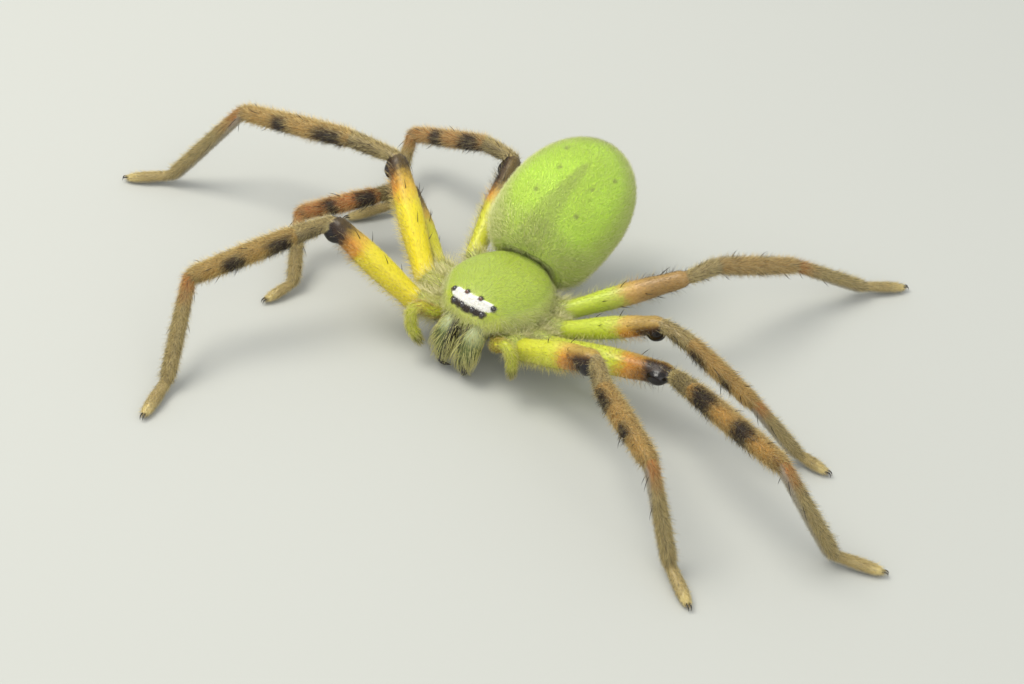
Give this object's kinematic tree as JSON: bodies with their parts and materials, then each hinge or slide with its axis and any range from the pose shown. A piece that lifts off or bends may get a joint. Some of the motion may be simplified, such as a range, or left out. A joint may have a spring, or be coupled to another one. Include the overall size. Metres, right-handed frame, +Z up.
{
  "type": "huntsman spider",
  "caption": "Life-size huntsman spider at rest with its legs spread, green body and banded yellow to brown legs, standing on its feet.",
  "frame": {"origin": "middle of the outer box at the level of the soles", "axes": "+Z up, the head looks along -Y, the spider's left side is +X"},
  "size_m": [0.0714, 0.0516, 0.0123],
  "materials": {
    "carapace_green": "smooth hard skin with a soft shine and fine pale down",
    "abdomen_green": "soft skin with a fine short nap",
    "waist_green": "soft skin",
    "spinneret_tan": "soft skin with short hair",
    "eye_amber": "clear glossy lens",
    "eye_black": "clear glossy lens",
    "chelicera_olive": "hard skin under long pale bristles",
    "fang_black": "polished horn",
    "palp_yellow": "hard skin with fine hair",
    "femur_yellow": "smooth hard skin with sparse dark spines",
    "patella_brown": "hard skin with short hair",
    "tibia_orange": "hard skin with dense short hair",
    "metatarsus_brown": "hard skin with dense short hair",
    "tarsus_buff": "velvety pad of short hair"
  },
  "bodies": {
    "root": {"cephalothorax": "carapace_green", "abdomen": "abdomen_green", "pedicel": "waist_green", "spinnerets": "spinneret_tan", "eye_AME_left": "eye_black", "eye_ALE_left": "eye_black", "eye_PME_left": "eye_amber", "eye_PLE_left": "eye_black", "eye_AME_right": "eye_black", "eye_ALE_right": "eye_black", "eye_PME_right": "eye_amber", "eye_PLE_right": "eye_black", "chelicera_left": "chelicera_olive", "fang_left": "fang_black", "chelicera_right": "chelicera_olive", "fang_right": "fang_black", "palp_left": "palp_yellow", "palp_right": "palp_yellow", "leg1_left_femur": "femur_yellow", "leg1_left_patella": "patella_brown", "leg1_left_tibia": "tibia_orange", "leg1_left_metatarsus": "metatarsus_brown", "leg1_left_tarsus": "tarsus_buff", "leg2_left_femur": "femur_yellow", "leg2_left_patella": "patella_brown", "leg2_left_tibia": "tibia_orange", "leg2_left_metatarsus": "metatarsus_brown", "leg2_left_tarsus": "tarsus_buff", "leg3_left_femur": "femur_yellow", "leg3_left_patella": "patella_brown", "leg3_left_tibia": "tibia_orange", "leg3_left_metatarsus": "metatarsus_brown", "leg3_left_tarsus": "tarsus_buff", "leg4_left_femur": "femur_yellow", "leg4_left_patella": "patella_brown", "leg4_left_tibia": "tibia_orange", "leg4_left_metatarsus": "metatarsus_brown", "leg4_left_tarsus": "tarsus_buff", "leg1_right_femur": "femur_yellow", "leg1_right_patella": "patella_brown", "leg1_right_tibia": "tibia_orange", "leg1_right_metatarsus": "metatarsus_brown", "leg1_right_tarsus": "tarsus_buff", "leg2_right_femur": "femur_yellow", "leg2_right_patella": "patella_brown", "leg2_right_tibia": "tibia_orange", "leg2_right_metatarsus": "metatarsus_brown", "leg2_right_tarsus": "tarsus_buff", "leg3_right_femur": "femur_yellow", "leg3_right_patella": "patella_brown", "leg3_right_tibia": "tibia_orange", "leg3_right_metatarsus": "metatarsus_brown", "leg3_right_tarsus": "tarsus_buff", "leg4_right_femur": "femur_yellow", "leg4_right_patella": "patella_brown", "leg4_right_tibia": "tibia_orange", "leg4_right_metatarsus": "metatarsus_brown", "leg4_right_tarsus": "tarsus_buff"}
  },
  "joints": []
}
